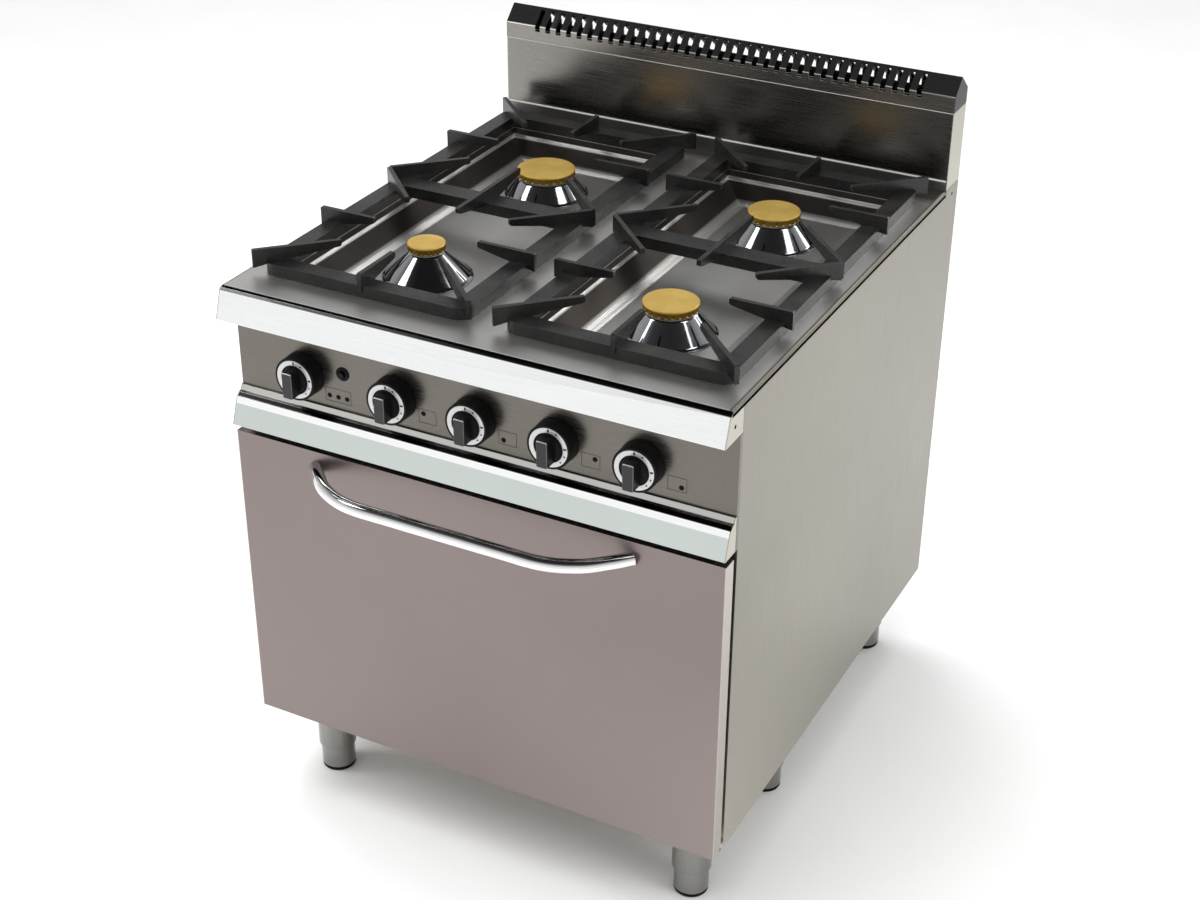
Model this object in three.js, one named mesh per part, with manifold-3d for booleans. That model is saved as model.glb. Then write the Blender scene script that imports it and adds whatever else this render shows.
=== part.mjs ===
// Four-burner gas range with an oven below, a slotted flue at the back and six feet.
// Millimetres, +Z up, front towards -Y. The origin is on the floor under the middle of the whole range.
import * as THREE from 'three';
import { mergeVertices } from 'three/addons/utils/BufferGeometryUtils.js';
import Module from 'manifold-3d';

const wasm = await Module();
wasm.setup();

// ---------- driving dimensions ----------
const WIDTH = 800;
const DEPTH = 900; // front rail's lower edge to the back panel
const HANDLE_REACH = 60; // how far the door handle stands in front of the front rail
const HOB_Z = 900; // top of the hob plate above the floor
const BODY_Z = 153; // underside of the body
const SHEET = 2;
const GAP = 0.3; // clearance between neighbouring pieces

const HALF = WIDTH / 2;
const FRONT = -(DEPTH - HANDLE_REACH) / 2; // Y of the front rail's lower edge
const BACK = FRONT + DEPTH;
const INSIDE = HALF - SHEET - GAP; // half width left between the side panels

// Y planes behind the front rail's lower edge
const HOB_FRONT = FRONT + 19.5;
const DOOR_Y = FRONT + 22;
const PANEL_Y = FRONT + 47.5;
const CARCASS_Y = FRONT + 55;
const UPSTAND_Y = FRONT + 841;

// heights
const RAIL_Z = 852;
const LOWER_RAIL_Z = 673;
const DOOR_TOP_Z = 660.5;
const LIP_Z = 917;
const CAP_Z = 1028.6; // joint between the upstand and its slotted cap
const EAVES_Z = 1055;
const SLOT_Z = EAVES_Z - 9.5; // foot of the cap's slots
const RIDGE_Z = 1080.7;
const RIDGE_Y = FRONT + 867.5;

// hob
const HOB_FOLD = 10; // height of the plate's edges, folded down at the front and sides
const BEND_R = 5; // outer radius of the side folds
const RIM_WALL = 18; // upright wall of a recess under the grate
const FLOOR_FALL = 20; // sloped floor edge below that wall
const FLOOR_RUN = 37;
const RECESS_W = 288;
const RECESS_FRONT = FRONT + 104;
const RECESS_BACK = FRONT + 764;
const FLOOR_Z = HOB_Z - RIM_WALL - FLOOR_FALL;
const BAY_X = [-200, 200]; // middles of the left and right recess
const BURNER_Y = [FRONT + 252, FRONT + 616]; // front and back burners
const THROAT_R = 27;

// grates
const BAR = 28;
const CROSS_BAR = 36;
const BAR_H = 18;
const FINGER_T = 7;
const FINGER_TOP = HOB_Z + 37;
const FINGER_TIP = 89; // tip distance from the burner axis, along X and Y
const FINGER_END = 184; // outer end distance along X
const GRATE_W = 344;
const GRATE_FRONT = FRONT + 76;
const GRATE_BACK = FRONT + 792;

// oven
const OVEN_HALF = 300;
const OVEN_FLOOR_Z = 245;
const OVEN_TOP_Z = 595;
const OVEN_FRONT = FRONT + 62;
const OVEN_BACK = FRONT + 720;
const RACK_Z = 402;

// controls
const KNOB_X = [-286, -130, 0, 130, 260];
const KNOB_Z = 772.5;
const KNOB_DEPTH = 26;
const KNOB_R = 34;
const DIAL_R = 33.5;
const IGNITER_X = -219;
const IGNITER_Z = 786.5;

// feet
const FOOT_X = 325;
const FOOT_Y = [FRONT + 113, FRONT + 395, FRONT + 850];
const SLEEVE_R = 30.5;
const FOOT_R = 27.3;
const SLEEVE_BOTTOM = 46;

// door hinge axis
const HINGE_Y = FRONT + 46;
const HINGE_Z = 156;

// ---------- materials ----------
const paint = (color, roughness, metalness) => new THREE.MeshStandardMaterial({ color, roughness, metalness });
const SATIN = paint(0xa39d94, 0.38, 0.9);
const BRIGHT = paint(0xd9dad8, 0.3, 0.9);
const HOB_STEEL = paint(0x8d8d86, 0.3, 0.95);
const DOOR_STEEL = paint(0x9c918e, 0.36, 0.9);
const DARK_STEEL = paint(0x55534f, 0.35, 0.9);
const POLISHED = paint(0xc8c8c6, 0.08, 1);
const BRASS = paint(0xc9a24d, 0.25, 1);
const IRON = paint(0x2b2b2c, 0.7, 0.4);
const BLACK = paint(0x141414, 0.45, 0);
const RUBBER = paint(0x101010, 0.8, 0);
const WOOL = paint(0xcfc8a8, 0.95, 0);
const ENAMEL = paint(0x30343a, 0.3, 0.1);

// ---------- solids ----------
function solid(geometry) {
  const bare = geometry.index ? geometry.toNonIndexed() : geometry.clone();
  bare.deleteAttribute('normal');
  bare.deleteAttribute('uv');
  const merged = mergeVertices(bare, 1e-4);
  const corners = merged.attributes.position.array;
  const faces = merged.index.array;
  if (signedVolume(corners, faces) < 0) faces.reverse();
  return new wasm.Manifold(new wasm.Mesh({
    numProp: 3,
    vertProperties: new Float32Array(corners),
    triVerts: new Uint32Array(faces),
  }));
}

function signedVolume(corners, faces) {
  const [a, b, c] = [new THREE.Vector3(), new THREE.Vector3(), new THREE.Vector3()];
  let total = 0;
  for (let i = 0; i < faces.length; i += 3) {
    a.fromArray(corners, 3 * faces[i]);
    b.fromArray(corners, 3 * faces[i + 1]);
    c.fromArray(corners, 3 * faces[i + 2]);
    total += a.dot(b.cross(c)) / 6;
  }
  return total;
}

function block(x0, x1, y0, y1, z0, z1) {
  const geometry = new THREE.BoxGeometry(x1 - x0, y1 - y0, z1 - z0);
  return geometry.translate((x0 + x1) / 2, (y0 + y1) / 2, (z0 + z1) / 2);
}

const box = (...limits) => solid(block(...limits));

// a box between two distances from the middle, on the left (-1) or right (1) side
function sideBox(side, near, far, y0, y1, z0, z1) {
  return side > 0 ? box(near, far, y0, y1, z0, z1) : box(-far, -near, y0, y1, z0, z1);
}

function outline(points) {
  return new THREE.Shape(points.map(([a, b]) => new THREE.Vector2(a, b)));
}

// a shape drawn in X and Y, standing from z0 to z1
function prismZ(shape, z0, z1, y = 0, curveSegments = 5) {
  const geometry = new THREE.ExtrudeGeometry(shape, { depth: z1 - z0, bevelEnabled: false, curveSegments });
  return solid(geometry.translate(0, y, z0));
}

// a profile drawn in Y and Z, running along X
function prismX(points, x0, x1) {
  const geometry = new THREE.ExtrudeGeometry(outline(points), { depth: x1 - x0, bevelEnabled: false });
  const turn = new THREE.Matrix4().makeBasis(
    new THREE.Vector3(0, 1, 0), new THREE.Vector3(0, 0, 1), new THREE.Vector3(1, 0, 0));
  return solid(geometry.applyMatrix4(turn).translate(x0, 0, 0));
}

// a shape drawn in X and Z, running along Y
function blockY(shape, y0, y1, curveSegments = 4) {
  const geometry = new THREE.ExtrudeGeometry(shape, { depth: y1 - y0, bevelEnabled: false, curveSegments });
  return geometry.rotateX(Math.PI / 2).translate(0, y1, 0);
}

// a round bar along X, Y or Z between two places on that axis
function rod(axis, from, to, a, b, radius, sides = 20) {
  const geometry = new THREE.CylinderGeometry(radius, radius, to - from, sides);
  const middle = (from + to) / 2;
  if (axis === 'x') geometry.rotateZ(-Math.PI / 2).translate(middle, a, b);
  if (axis === 'y') geometry.translate(a, middle, b);
  if (axis === 'z') geometry.rotateX(Math.PI / 2).translate(a, b, middle);
  return solid(geometry);
}

// a turned solid about Z: the profile goes from the lower end up, in radius and height
function turned(profile, sides) {
  const points = profile.map(([r, z]) => new THREE.Vector2(r, z));
  return solid(new THREE.LatheGeometry(points, sides).rotateX(Math.PI / 2));
}

function roundedRect(w, d, r) {
  const shape = new THREE.Shape();
  const x = w / 2;
  const y = d / 2;
  shape.moveTo(x, -y + r);
  shape.lineTo(x, y - r);
  shape.absarc(x - r, y - r, r, 0, Math.PI / 2, false);
  shape.lineTo(-x + r, y);
  shape.absarc(-x + r, y - r, r, Math.PI / 2, Math.PI, false);
  shape.lineTo(-x, -y + r);
  shape.absarc(-x + r, -y + r, r, Math.PI, Math.PI * 1.5, false);
  shape.lineTo(x - r, -y);
  shape.absarc(x - r, -y + r, r, Math.PI * 1.5, Math.PI * 2, false);
  return shape;
}

const join = (...parts) => parts.reduce((sum, part) => sum.add(part));
const cut = (body, ...tools) => tools.reduce((rest, tool) => rest.subtract(tool), body);

const range = new THREE.Group();

function piece(name, body, material, x = 0, y = 0, z = 0, parent = range) {
  const mesh = body.getMesh();
  const geometry = new THREE.BufferGeometry();
  geometry.setAttribute('position', new THREE.BufferAttribute(new Float32Array(mesh.vertProperties), 3));
  geometry.setIndex(new THREE.BufferAttribute(new Uint32Array(mesh.triVerts), 1));
  geometry.computeVertexNormals();
  const part = new THREE.Mesh(geometry, material);
  part.name = name;
  part.position.set(x, y, z);
  parent.add(part);
  return part;
}

// ---------- hob plate with two pressed recesses and a lip turned up at the back ----------
function recess(x, spread) {
  // spread > 0 gives the outside of the pressed sheet, 0 its inside
  const w = RECESS_W + 2 * spread;
  const d = RECESS_BACK - RECESS_FRONT + 2 * spread;
  const wall = RIM_WALL + 20;
  const across = w / 2 - FLOOR_RUN;
  const along = d / 2 - FLOOR_RUN;
  const floor = outline([[-across, -along], [across, -along], [across, along], [-across, along]]);
  const geometry = new THREE.ExtrudeGeometry(floor, {
    depth: wall, bevelEnabled: true, bevelThickness: FLOOR_FALL, bevelSize: FLOOR_RUN, bevelSegments: 1,
  });
  const middleY = (RECESS_FRONT + RECESS_BACK) / 2;
  return solid(geometry.translate(x, middleY, FLOOR_Z + FLOOR_FALL - spread));
}

// section of the plate across the range, with rounded side folds; inset by one sheet it is the hollow under it
function hobSection(inset, low) {
  const x = HALF - inset;
  const top = HOB_Z - inset;
  const r = BEND_R - inset;
  const shape = new THREE.Shape();
  shape.moveTo(x, low);
  shape.absarc(x - r, top - r, r, 0, Math.PI / 2, false);
  shape.absarc(-x + r, top - r, r, Math.PI / 2, Math.PI, false);
  shape.lineTo(-x, low);
  return shape;
}

function hobTop() {
  const rear = UPSTAND_Y - GAP;
  const fold = HOB_Z - HOB_FOLD;
  const outside = solid(blockY(hobSection(0, fold), HOB_FRONT, rear));
  const inside = solid(blockY(hobSection(SHEET, fold - 5), HOB_FRONT + SHEET, rear + 5));
  let plate = join(
    cut(outside, inside),
    box(-INSIDE, INSIDE, rear - SHEET, rear, HOB_Z - SHEET, LIP_Z),
  );
  const under = box(-HALF, HALF, FRONT, BACK, HOB_Z - 200, HOB_Z - 0.5);
  for (const x of BAY_X) {
    plate = plate.add(recess(x, SHEET).intersect(under));
    plate = plate.subtract(recess(x, 0));
    for (const y of BURNER_Y) {
      plate = plate.subtract(rod('z', FLOOR_Z - 20, FLOOR_Z + 10, x, y, THROAT_R + 1, 24));
    }
  }
  return plate;
}
piece('hob_top', hobTop(), HOB_STEEL);

// ---------- front rails and control panel ----------
// a folded rail: its face goes up through the given points in Y and Z, its ends are closed, and its back is open
function rail(face, topZ, backY) {
  const [bottom] = face;
  const inward = face.slice(1).reverse().map(([y, z]) => [y + SHEET, z - SHEET]);
  const outside = prismX([bottom, [backY, bottom[1]], [backY, topZ], ...face.slice(1).reverse()], -HALF, HALF);
  const hollow = prismX([
    [bottom[0] + SHEET + 0.6, bottom[1] + SHEET], [backY + 5, bottom[1] + SHEET], [backY + 5, topZ - SHEET], ...inward,
  ], -HALF + SHEET, HALF - SHEET);
  return cut(outside, hollow);
}

// the front rail's bent top edge leaves a shadow gap before the hob plate, and its ends reach back to the sides
function frontRail() {
  const lip = FRONT + 17.3;
  const face = [[FRONT, RAIL_Z], [FRONT + 13.8, HOB_Z - 6.7], [FRONT + 16.8, HOB_Z - 3.4]];
  const underFold = HOB_Z - HOB_FOLD - GAP;
  const screwHole = rod('x', -HALF - 5, HALF + 5, FRONT + 29, RAIL_Z + 20.5, 3, 16);
  return cut(
    rail(face, HOB_Z - 3, CARCASS_Y - GAP),
    box(-HALF + SHEET, HALF - SHEET, lip, CARCASS_Y, RAIL_Z + 10, HOB_Z),
    box(-HALF - 5, HALF + 5, HOB_FRONT - GAP, CARCASS_Y, underFold, HOB_Z),
    screwHole,
  );
}
piece('front_rail', frontRail(), BRIGHT);
// the lower rail leans back in three folds, and its rear edge turns up against the control panel
piece('lower_rail', rail([
  [FRONT + 15.1, LOWER_RAIL_Z], [FRONT + 26, LOWER_RAIL_Z + 31.4], [FRONT + 29.9, LOWER_RAIL_Z + 40.9],
  [FRONT + 36, LOWER_RAIL_Z + 46], [FRONT + 40.5, LOWER_RAIL_Z + 47], [FRONT + 44, LOWER_RAIL_Z + 54.5],
], LOWER_RAIL_Z + 55, PANEL_Y - GAP), BRIGHT);

function controlPanel() {
  const top = RAIL_Z - GAP;
  const back = CARCASS_Y - GAP;
  let panel = join(
    box(-HALF, HALF, PANEL_Y, PANEL_Y + SHEET, LOWER_RAIL_Z, top),
    box(-HALF, HALF, PANEL_Y, back, top - SHEET, top),
    box(-HALF, -HALF + SHEET, PANEL_Y, back, LOWER_RAIL_Z, top),
    box(HALF - SHEET, HALF, PANEL_Y, back, LOWER_RAIL_Z, top),
  );
  for (const x of KNOB_X) panel = panel.subtract(rod('y', PANEL_Y - 5, PANEL_Y + 5, x, KNOB_Z, 6, 16));
  return panel.subtract(rod('y', PANEL_Y - 5, PANEL_Y + 5, IGNITER_X, IGNITER_Z, 7.3, 20));
}
piece('control_panel', controlPanel(), SATIN);

// ---------- carcass ----------
function sidePanel(side) {
  const flange = 15;
  const x = (distance) => side * distance;
  const profile = [
    [x(HALF), CARCASS_Y], [x(HALF), BACK], [x(HALF - SHEET), BACK], [x(HALF - SHEET), CARCASS_Y + SHEET],
    [x(HALF - flange), CARCASS_Y + SHEET], [x(HALF - flange), CARCASS_Y],
  ];
  const panel = prismZ(outline(side > 0 ? profile : [...profile].reverse()), BODY_Z, HOB_Z);
  // the hob plate's fold hangs over the panel's top edge, up to the upstand
  return cut(
    panel,
    box(-HALF - 5, HALF + 5, CARCASS_Y - 5, UPSTAND_Y, HOB_Z - HOB_FOLD - GAP, HOB_Z + 5),
    rod('x', -HALF - 5, HALF + 5, UPSTAND_Y + 31, HOB_Z - 14.5, 3, 16),
  );
}
piece('side_panel_left', sidePanel(-1), SATIN);
piece('side_panel_right', sidePanel(1), SATIN);

const INLET_X = 300;
const INLET_Z = 205;
piece('back_panel', cut(
  box(-INSIDE, INSIDE, BACK - SHEET, BACK, BODY_Z, HOB_Z - GAP),
  rod('y', BACK - 10, BACK + 10, INLET_X, INLET_Z, 12, 20),
), SATIN);

piece('base_panel', box(
  -INSIDE, INSIDE, CARCASS_Y + SHEET + GAP, BACK - SHEET - GAP, BODY_Z, BODY_Z + SHEET,
), SATIN);

const FRAME_HALF = HALF - 15 - GAP;
piece('front_frame', cut(
  box(-FRAME_HALF, FRAME_HALF, CARCASS_Y, CARCASS_Y + SHEET, BODY_Z, LOWER_RAIL_Z + 42),
  box(-OVEN_HALF, OVEN_HALF, CARCASS_Y - 5, CARCASS_Y + 5, OVEN_FLOOR_Z, OVEN_TOP_Z),
), DARK_STEEL);

// ---------- flue: a folded duct along the back edge and its slotted gable cap ----------
piece('upstand', cut(
  box(-HALF, HALF, UPSTAND_Y, BACK, HOB_Z + GAP, CAP_Z - GAP),
  box(-HALF + SHEET, HALF - SHEET, UPSTAND_Y + SHEET, BACK - SHEET, HOB_Z - 10, CAP_Z + 10),
), DARK_STEEL);

function flueCap() {
  const gable = (inset, low) => [
    [UPSTAND_Y + inset, low],
    [BACK - inset, low],
    [BACK - inset, EAVES_Z - inset * 0.4],
    [RIDGE_Y, RIDGE_Z - inset * 1.4],
    [UPSTAND_Y + inset, EAVES_Z - inset * 0.4],
  ];
  let cap = prismX(gable(0, CAP_Z), -HALF, HALF);
  cap = cap.subtract(prismX(gable(SHEET, CAP_Z - 10), -HALF + SHEET, HALF - SHEET));
  // a row of slots in each slope, from the eaves strip up to a narrow ridge
  const slots = 35;
  const pitch = 20;
  const slotHalf = 4.4;
  const ridgeHalf = 2.5;
  for (let i = 0; i < slots; i += 1) {
    const x = (i - (slots - 1) / 2) * pitch;
    cap = cut(
      cap,
      box(x - slotHalf, x + slotHalf, UPSTAND_Y - 5, RIDGE_Y - ridgeHalf, SLOT_Z, RIDGE_Z + 5),
      box(x - slotHalf, x + slotHalf, RIDGE_Y + ridgeHalf, BACK + 5, SLOT_Z, RIDGE_Z + 5),
    );
  }
  return cap;
}
piece('flue_cap', flueCap(), DARK_STEEL);

// the oven's flue: a level duct from the oven's back wall, and a riser from it up to the upstand
const DUCT_HALF = 150;
const DUCT_LOW = 520;
const DUCT_HIGH = 580;
const RISER_FRONT = BACK - 54;
const RISER_BACK = BACK - 8;
const ductBore = (y0, y1) => box(-DUCT_HALF + SHEET, DUCT_HALF - SHEET, y0, y1, DUCT_LOW + SHEET, DUCT_HIGH - SHEET);
piece('oven_duct', cut(
  box(-DUCT_HALF, DUCT_HALF, OVEN_BACK + 3, RISER_FRONT - GAP, DUCT_LOW, DUCT_HIGH),
  ductBore(OVEN_BACK, RISER_FRONT + 5),
), DARK_STEEL);
piece('oven_riser', cut(
  box(-DUCT_HALF, DUCT_HALF, RISER_FRONT, RISER_BACK, DUCT_LOW, HOB_Z - GAP),
  box(-DUCT_HALF + SHEET, DUCT_HALF - SHEET, RISER_FRONT + SHEET, RISER_BACK - SHEET, DUCT_LOW + SHEET, HOB_Z + 5),
  ductBore(RISER_FRONT - 5, RISER_FRONT + 5),
), DARK_STEEL);

// ---------- oven ----------
const CAVITY_OUT = OVEN_HALF + SHEET;
piece('oven_floor', box(-OVEN_HALF, OVEN_HALF, OVEN_FRONT, OVEN_BACK, OVEN_FLOOR_Z - SHEET, OVEN_FLOOR_Z), ENAMEL);
piece('oven_roof', box(-OVEN_HALF, OVEN_HALF, OVEN_FRONT, OVEN_BACK, OVEN_TOP_Z, OVEN_TOP_Z + SHEET), ENAMEL);
for (const [name, side] of [['oven_wall_left', -1], ['oven_wall_right', 1]]) {
  piece(name, sideBox(side, OVEN_HALF + GAP, CAVITY_OUT + GAP, OVEN_FRONT, OVEN_BACK,
    OVEN_FLOOR_Z - SHEET, OVEN_TOP_Z + SHEET), ENAMEL);
}
piece('oven_wall_back', cut(
  box(-CAVITY_OUT, CAVITY_OUT, OVEN_BACK + GAP, OVEN_BACK + GAP + SHEET, OVEN_FLOOR_Z - SHEET, OVEN_TOP_Z + SHEET),
  box(-120, 120, OVEN_BACK - 5, OVEN_BACK + 5, 535, 565),
), ENAMEL);

function rackRunner(side) {
  const back = OVEN_HALF - GAP;
  const plate = back - 1.7;
  const ledge = plate - 12;
  const y0 = OVEN_FRONT + 30;
  const y1 = OVEN_BACK - 20;
  const ledges = [-80, 0, 80].map((rise) => RACK_Z + rise)
    .map((z) => sideBox(side, ledge, plate + 0.5, y0, y1, z - 2, z));
  return join(sideBox(side, plate, back, y0, y1, OVEN_FLOOR_Z + 45, OVEN_TOP_Z - 55), ...ledges);
}
piece('rack_runner_left', rackRunner(-1), POLISHED);
piece('rack_runner_right', rackRunner(1), POLISHED);

function ovenRack() {
  const x = OVEN_HALF - 7;
  const y0 = OVEN_FRONT + 34;
  const y1 = OVEN_BACK - 26;
  const r = 4;
  const z = RACK_Z + r + GAP;
  const parts = [
    rod('y', y0 - r, y1 + r, -x + r, z, r, 8), rod('y', y0 - r, y1 + r, x - r, z, r, 8),
    rod('x', -x, x, y0, z, r, 8), rod('x', -x, x, y1, z, r, 8),
  ];
  const wires = 13;
  for (let i = 1; i <= wires; i += 1) {
    parts.push(rod('x', -x + r, x - r, y0 + ((y1 - y0) * i) / (wires + 1), z, 2, 6));
  }
  return join(...parts);
}
piece('oven_rack', ovenRack(), POLISHED);

piece('oven_burner', join(
  rod('y', OVEN_FRONT + 60, OVEN_BACK - 60, 0, 205, 14, 16),
  box(-20, 20, OVEN_FRONT + 90, OVEN_FRONT + 94, BODY_Z + SHEET + GAP, 200),
  box(-20, 20, OVEN_BACK - 94, OVEN_BACK - 90, BODY_Z + SHEET + GAP, 200),
), BRIGHT);

// ---------- oven door, its fittings and hinges ----------
const DOOR_HALF = HALF - 1;
const DOOR_BACK = DOOR_Y + 24.7;
const HINGE_X = 378;

function hingeNotch(side) {
  return sideBox(side, HINGE_X - 8, HINGE_X + 12, DOOR_Y + 4, DOOR_BACK + 20, BODY_Z - 10, HINGE_Z + 12);
}

piece('door_outer', cut(
  box(-DOOR_HALF, DOOR_HALF, DOOR_Y, DOOR_BACK, BODY_Z, DOOR_TOP_Z),
  box(-DOOR_HALF + SHEET, DOOR_HALF - SHEET, DOOR_Y + SHEET, DOOR_BACK + 10, BODY_Z + SHEET, DOOR_TOP_Z - SHEET),
  hingeNotch(-1), hingeNotch(1),
  rod('x', -HALF - 5, -HALF + 12, HINGE_Y, HINGE_Z, 2.9, 16),
  rod('x', HALF - 12, HALF + 5, HINGE_Y, HINGE_Z, 2.9, 16),
), DOOR_STEEL);

piece('door_insulation', box(
  -HINGE_X + 12, HINGE_X - 12, DOOR_Y + SHEET + GAP, DOOR_BACK - GAP, BODY_Z + SHEET + GAP, DOOR_TOP_Z - SHEET - GAP,
), WOOL);

const LINER_Y = DOOR_BACK + GAP;
const PLUG_HALF = OVEN_HALF - 15;
const PLUG_LOW = OVEN_FLOOR_Z + 17;
const PLUG_HIGH = OVEN_TOP_Z - 15;
const PLUG_Y = DOOR_Y + 56;
piece('door_inner', cut(
  join(
    box(-DOOR_HALF + 9, DOOR_HALF - 9, LINER_Y, LINER_Y + SHEET, BODY_Z + 14, DOOR_TOP_Z - 8),
    box(-PLUG_HALF, PLUG_HALF, LINER_Y, PLUG_Y, PLUG_LOW, PLUG_HIGH),
  ),
  box(-PLUG_HALF + SHEET, PLUG_HALF - SHEET, LINER_Y - 5, PLUG_Y - SHEET, PLUG_LOW + SHEET, PLUG_HIGH - SHEET),
  hingeNotch(-1), hingeNotch(1),
), BRIGHT);

const SEAL_Y = LINER_Y + SHEET + GAP;
piece('door_seal', cut(
  box(-OVEN_HALF - 22, OVEN_HALF + 22, SEAL_Y, CARCASS_Y - GAP, OVEN_FLOOR_Z - 22, OVEN_TOP_Z + 22),
  box(-OVEN_HALF - 10, OVEN_HALF + 10, SEAL_Y - 5, CARCASS_Y + 5, OVEN_FLOOR_Z - 10, OVEN_TOP_Z + 10),
), RUBBER);

// the handle is one bent tube whose ends meet the door face
const HANDLE_Z = 634;
const HANDLE_R = 11;
const HANDLE_HALF = 259;
function handle() {
  const bow = FRONT - HANDLE_REACH + HANDLE_R;
  const right = [
    [HANDLE_HALF + 10, DOOR_Y + 12], [HANDLE_HALF, DOOR_Y], [238, FRONT], [205, FRONT - 29], [155, bow + 2], [80, bow],
  ];
  const left = right.map(([x, y]) => [-x, y]).reverse();
  const path = new THREE.CatmullRomCurve3(
    [...right, ...left].map(([x, y]) => new THREE.Vector3(x, y, HANDLE_Z)), false, 'centripetal');
  const ring = new THREE.Shape();
  ring.absarc(0, 0, HANDLE_R, 0, Math.PI * 2, false);
  const tube = solid(new THREE.ExtrudeGeometry(ring, { steps: 30, curveSegments: 7, extrudePath: path }));
  const doorFace = box(-HALF, HALF, DOOR_Y - GAP, DOOR_Y + 60, HANDLE_Z - 40, HANDLE_Z + 40);
  return cut(tube, doorFace);
}
piece('door_handle', handle(), POLISHED);

function hinge(side) {
  const inner = side * (HINGE_X - 1);
  const outer = side * (HALF - 1);
  return join(
    sideBox(side, HINGE_X - 3, HINGE_X + 2, HINGE_Y - 4, CARCASS_Y - GAP, HINGE_Z - 4, HINGE_Z + 4),
    rod('x', Math.min(inner, outer), Math.max(inner, outer), HINGE_Y, HINGE_Z, 2.6, 16),
  );
}
piece('hinge_left', hinge(-1), DARK_STEEL);
piece('hinge_right', hinge(1), DARK_STEEL);

// ---------- knobs, igniter, gas rail with its taps, gas inlet ----------
function knob() {
  const skirt = turned([
    [0, GAP], [KNOB_R, GAP], [KNOB_R, 3], [DIAL_R, KNOB_DEPTH], [0, KNOB_DEPTH],
  ], 28);
  const grip = prismZ(roundedRect(18, 46, 3), KNOB_DEPTH - 1, KNOB_DEPTH + 19, 0, 2);
  const spindleHole = rod('z', -5, 14, 0, 0, 4.3, 12);
  return cut(join(skirt, grip), spindleHole);
}

const controls = new THREE.Group();
controls.position.y = PANEL_Y;
range.add(controls);
KNOB_X.forEach((x, i) => {
  const part = piece(`knob_${i + 1}`, knob(), BLACK, x, 0, KNOB_Z, controls);
  part.rotation.x = Math.PI / 2;
});

const igniterRing = piece('igniter_ring', cut(
  join(rod('z', GAP, 3, 0, 0, 11, 24), rod('z', -14, 1, 0, 0, 7, 20)),
  rod('z', -20, 10, 0, 0, 5.8, 20),
), BRIGHT, IGNITER_X, 0, IGNITER_Z, controls);
igniterRing.rotation.x = Math.PI / 2;
const igniterButton = piece(
  'igniter_button', rod('z', -12, 7, 0, 0, 5.5, 20), BLACK, IGNITER_X, 0, IGNITER_Z, controls);
igniterButton.rotation.x = Math.PI / 2;

const GAS_RAIL_Y = PANEL_Y + 36;
function gasRail() {
  const parts = [rod('x', KNOB_X[0] - 30, INLET_X + 20, GAS_RAIL_Y, KNOB_Z, 11, 12)];
  for (const x of KNOB_X) {
    parts.push(rod('y', PANEL_Y + SHEET + GAP, GAS_RAIL_Y, x, KNOB_Z, 12, 12));
    parts.push(rod('y', PANEL_Y - 12, PANEL_Y + 10, x, KNOB_Z, 4, 12));
  }
  return join(...parts);
}
piece('gas_rail', gasRail(), BRASS);

// threaded stub through the back panel, an elbow block, a pipe to the front and a riser to the gas rail
const RISER_X = INLET_X + 30;
piece('gas_inlet', join(
  rod('y', BACK - 30, BACK - GAP, INLET_X, INLET_Z, 10.5, 20),
  box(INLET_X - 12, RISER_X + 12, BACK - 40, BACK - 22, INLET_Z - 12, INLET_Z + 12),
  rod('y', GAS_RAIL_Y, BACK - 35, RISER_X, INLET_Z, 9, 12),
  rod('z', INLET_Z, KNOB_Z + 11, RISER_X, GAS_RAIL_Y, 9, 12),
), BRASS);

// ---------- burners: polished cone standing in the recess and a brass cap on it ----------
// cap radius and height of the cap's top
const SMALL = { cap: 29, top: HOB_Z + 17 };
const MEDIUM = { cap: 41, top: HOB_Z + 12 };
const LARGE = { cap: 47.5, top: HOB_Z + 5 };
const BURNERS = [
  ['front_left', 0, 0, SMALL], ['front_right', 1, 0, MEDIUM],
  ['back_left', 0, 1, LARGE], ['back_right', 1, 1, MEDIUM],
];
const CAP_H = 12;
const CONE_BASE = 68;

function burnerCone({ cap, top }) {
  const neck = cap - 5;
  const low = FLOOR_Z + GAP;
  const seat = top - CAP_H - GAP;
  const throat = THROAT_R;
  return turned([
    [0, low - 30], [throat, low - 30], [throat, low], [CONE_BASE, low], [CONE_BASE, low + 2],
    [neck + 10, seat - 11], [neck, seat - 3], [neck, seat], [0, seat],
  ], 28);
}

function burnerCap({ cap }) {
  const ports = 12;
  let body = turned([
    [0, 0], [cap - 2, 0], [cap, 2], [cap, CAP_H - 2], [cap - 2, CAP_H], [0, CAP_H],
  ], 32);
  for (let i = 0; i < ports; i += 1) {
    const turn = ((i + 0.25) / ports) * Math.PI * 2;
    body = body.subtract(solid(block(cap - 2.5, cap + 5, -1.2, 1.2, 3, 8).rotateZ(turn)));
  }
  return body;
}

for (const [place, column, row, size] of BURNERS) {
  const burner = new THREE.Group();
  burner.position.set(BAY_X[column], BURNER_Y[row], 0);
  range.add(burner);
  piece(`burner_cone_${place}`, burnerCone(size), POLISHED, 0, 0, 0, burner);
  piece(`burner_cap_${place}`, burnerCap(size), BRASS, 0, 0, size.top - CAP_H, burner);
}

// ---------- grates: one long frame per recess, with eight fingers round each burner ----------
function finger(tip, length, turn, burnerY) {
  // drawn along +X from its tip, then turned about the burner
  const top = FINGER_TOP;
  const end = tip + length;
  const low = HOB_Z + GAP + BAR_H / 2;
  const plate = blockY(outline([
    [tip, top - 8], [tip + 3, top - 10], [end - 30, top - 22], [end, low], [end, top - 1.5],
    [end - 1.5, top], [tip + 1.5, top], [tip, top - 1.5],
  ]), -FINGER_T / 2, FINGER_T / 2);
  return solid(plate.rotateZ(turn).translate(0, burnerY, 0));
}

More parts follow.
